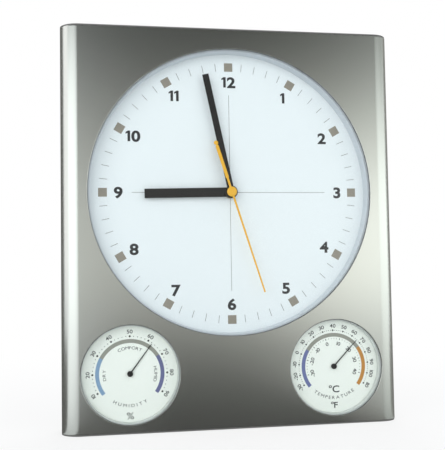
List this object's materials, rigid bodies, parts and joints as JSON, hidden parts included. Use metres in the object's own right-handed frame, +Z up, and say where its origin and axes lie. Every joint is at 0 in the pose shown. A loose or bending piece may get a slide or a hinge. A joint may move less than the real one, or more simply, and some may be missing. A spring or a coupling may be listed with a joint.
{
  "type": "wall clock with thermometer and hygrometer",
  "caption": "Flat upright wall clock: brushed metal front with a large round dial above a dial hygrometer and a dial thermometer, keyhole hanger behind.",
  "frame": {"origin": "centre of the case's foot: middle of the width and of the depth, on the lower end", "axes": "+Z up along the case, +X to the right as seen from the front, +Y from the front to the wall"},
  "size_m": [0.302, 0.04, 0.356],
  "materials": {
    "front_sheet": "vertical brushed satin aluminium",
    "end_cap": "metal-grey moulded plastic",
    "housing": "fine-textured black ABS",
    "chassis": "moulded ABS",
    "glass": "clear flat glass",
    "ring": "silver-white moulded ring",
    "dial_white": "cool white print on sheet",
    "gauge_dial": "warm white print on sheet",
    "hand_black": "satin black paint",
    "hand_amber": "amber paint",
    "gauge_case": "silver-white moulded shell",
    "bimetal": "rolled bimetal strip",
    "steel": "bright zinc-plated steel",
    "dark_steel": "blackened steel",
    "brass": "turned brass",
    "movement": "black moulded plastic",
    "movement_plate": "natural acetal",
    "gear": "natural acetal",
    "battery": "printed sleeve",
    "contact": "nickel-plated spring steel",
    "board": "green solder mask",
    "potting": "black epoxy",
    "copper": "enamelled copper wire",
    "iron": "soft magnetic sheet",
    "magnet": "sintered magnet"
  },
  "bodies": {
    "case": {"front_panel": "front_sheet", "top_end_cap": "end_cap", "bottom_end_cap": "end_cap", "rear_housing": "housing", "chassis": "chassis", "chassis_screws": "steel", "hanger_plate": "steel", "hanger_screws": "steel", "front_glass": "glass", "dial_ring": "ring", "dial": "dial_white", "shaft_washer": "brass", "shaft_nut": "dark_steel", "movement_case": "movement", "train_plate": "movement_plate", "movement_back": "movement", "battery": "battery", "battery_contact": "contact", "battery_spring": "contact", "circuit_board": "board", "timing_chip": "potting", "quartz_crystal": "steel", "coil_core": "iron", "coil_bobbin": "gear", "coil_winding": "copper", "stator": "iron", "thermometer_case": "gauge_case", "thermometer_dial": "gauge_dial", "thermometer_coil": "bimetal", "hygrometer_case": "gauge_case", "hygrometer_dial": "gauge_dial", "hygrometer_coil": "bimetal"},
    "second_hand_group": {"second_hand": "hand_amber", "seconds_wheel": "gear"},
    "minute_hand_group": {"minute_hand": "hand_black", "center_wheel": "gear"},
    "hour_hand_group": {"hour_hand": "hand_black", "hour_wheel": "gear"},
    "third_wheel_group": {"third_wheel": "gear"},
    "minute_wheel_group": {"minute_wheel": "gear"},
    "step_wheel_group": {"step_wheel": "gear"},
    "rotor_group": {"rotor_pinion": "gear", "rotor_magnet": "magnet"},
    "knob_group": {"set_knob": "movement"},
    "thermometer_needle": {"thermometer_pointer": "hand_black", "thermometer_staff": "brass"},
    "hygrometer_needle": {"hygrometer_pointer": "hand_black", "hygrometer_staff": "brass"}
  },
  "joints": [
    {"name": "second_hand_turn", "type": "hinge", "parent": "case", "child": "second_hand_group", "pos_m": [0, -0.014, 0.2095], "axis": [0, 1, 0], "continuous": true},
    {"name": "minute_hand_turn", "type": "hinge", "parent": "case", "child": "minute_hand_group", "pos_m": [0, -0.012, 0.2095], "axis": [0, 1, 0], "continuous": true},
    {"name": "hour_hand_turn", "type": "hinge", "parent": "case", "child": "hour_hand_group", "pos_m": [0, -0.01, 0.2095], "axis": [0, 1, 0], "continuous": true},
    {"name": "third_wheel_turn", "type": "hinge", "parent": "case", "child": "third_wheel_group", "pos_m": [-0.00883, 0.005, 0.2146], "axis": [0, 1, 0], "continuous": true},
    {"name": "minute_wheel_turn", "type": "hinge", "parent": "case", "child": "minute_wheel_group", "pos_m": [0, 0, 0.2179], "axis": [0, 1, 0], "continuous": true},
    {"name": "step_wheel_turn", "type": "hinge", "parent": "case", "child": "step_wheel_group", "pos_m": [0.00901, 0.007, 0.2147], "axis": [0, 1, 0], "continuous": true},
    {"name": "rotor_turn", "type": "hinge", "parent": "case", "child": "rotor_group", "pos_m": [0.01261, 0.005, 0.22093], "axis": [0, 1, 0], "continuous": true},
    {"name": "set_knob_turn", "type": "hinge", "parent": "case", "child": "knob_group", "pos_m": [0, 0.014, 0.2263], "axis": [0, 1, 0], "continuous": true},
    {"name": "thermometer_needle_turn", "type": "hinge", "parent": "case", "child": "thermometer_needle", "pos_m": [0.0924, -0.012, 0.0503], "axis": [0, 1, 0], "range_deg": [-163.9, 71.3], "stiffness_Nm_per_rad": 0.004},
    {"name": "hygrometer_needle_turn", "type": "hinge", "parent": "case", "child": "hygrometer_needle", "pos_m": [-0.0924, -0.012, 0.0503], "axis": [0, 1, 0], "range_deg": [-156.9, 83.1], "stiffness_Nm_per_rad": 0.004}
  ],
  "couplings": [
    {"joint": "minute_hand_turn", "follows": "second_hand_turn", "ratio": 0.016667},
    {"joint": "hour_hand_turn", "follows": "second_hand_turn", "ratio": 0.0013889},
    {"joint": "third_wheel_turn", "follows": "second_hand_turn", "ratio": -0.13333},
    {"joint": "minute_wheel_turn", "follows": "second_hand_turn", "ratio": -0.0055556},
    {"joint": "step_wheel_turn", "follows": "second_hand_turn", "ratio": -6},
    {"joint": "rotor_turn", "follows": "second_hand_turn", "ratio": 30},
    {"joint": "set_knob_turn", "follows": "second_hand_turn", "ratio": 0.016667}
  ]
}
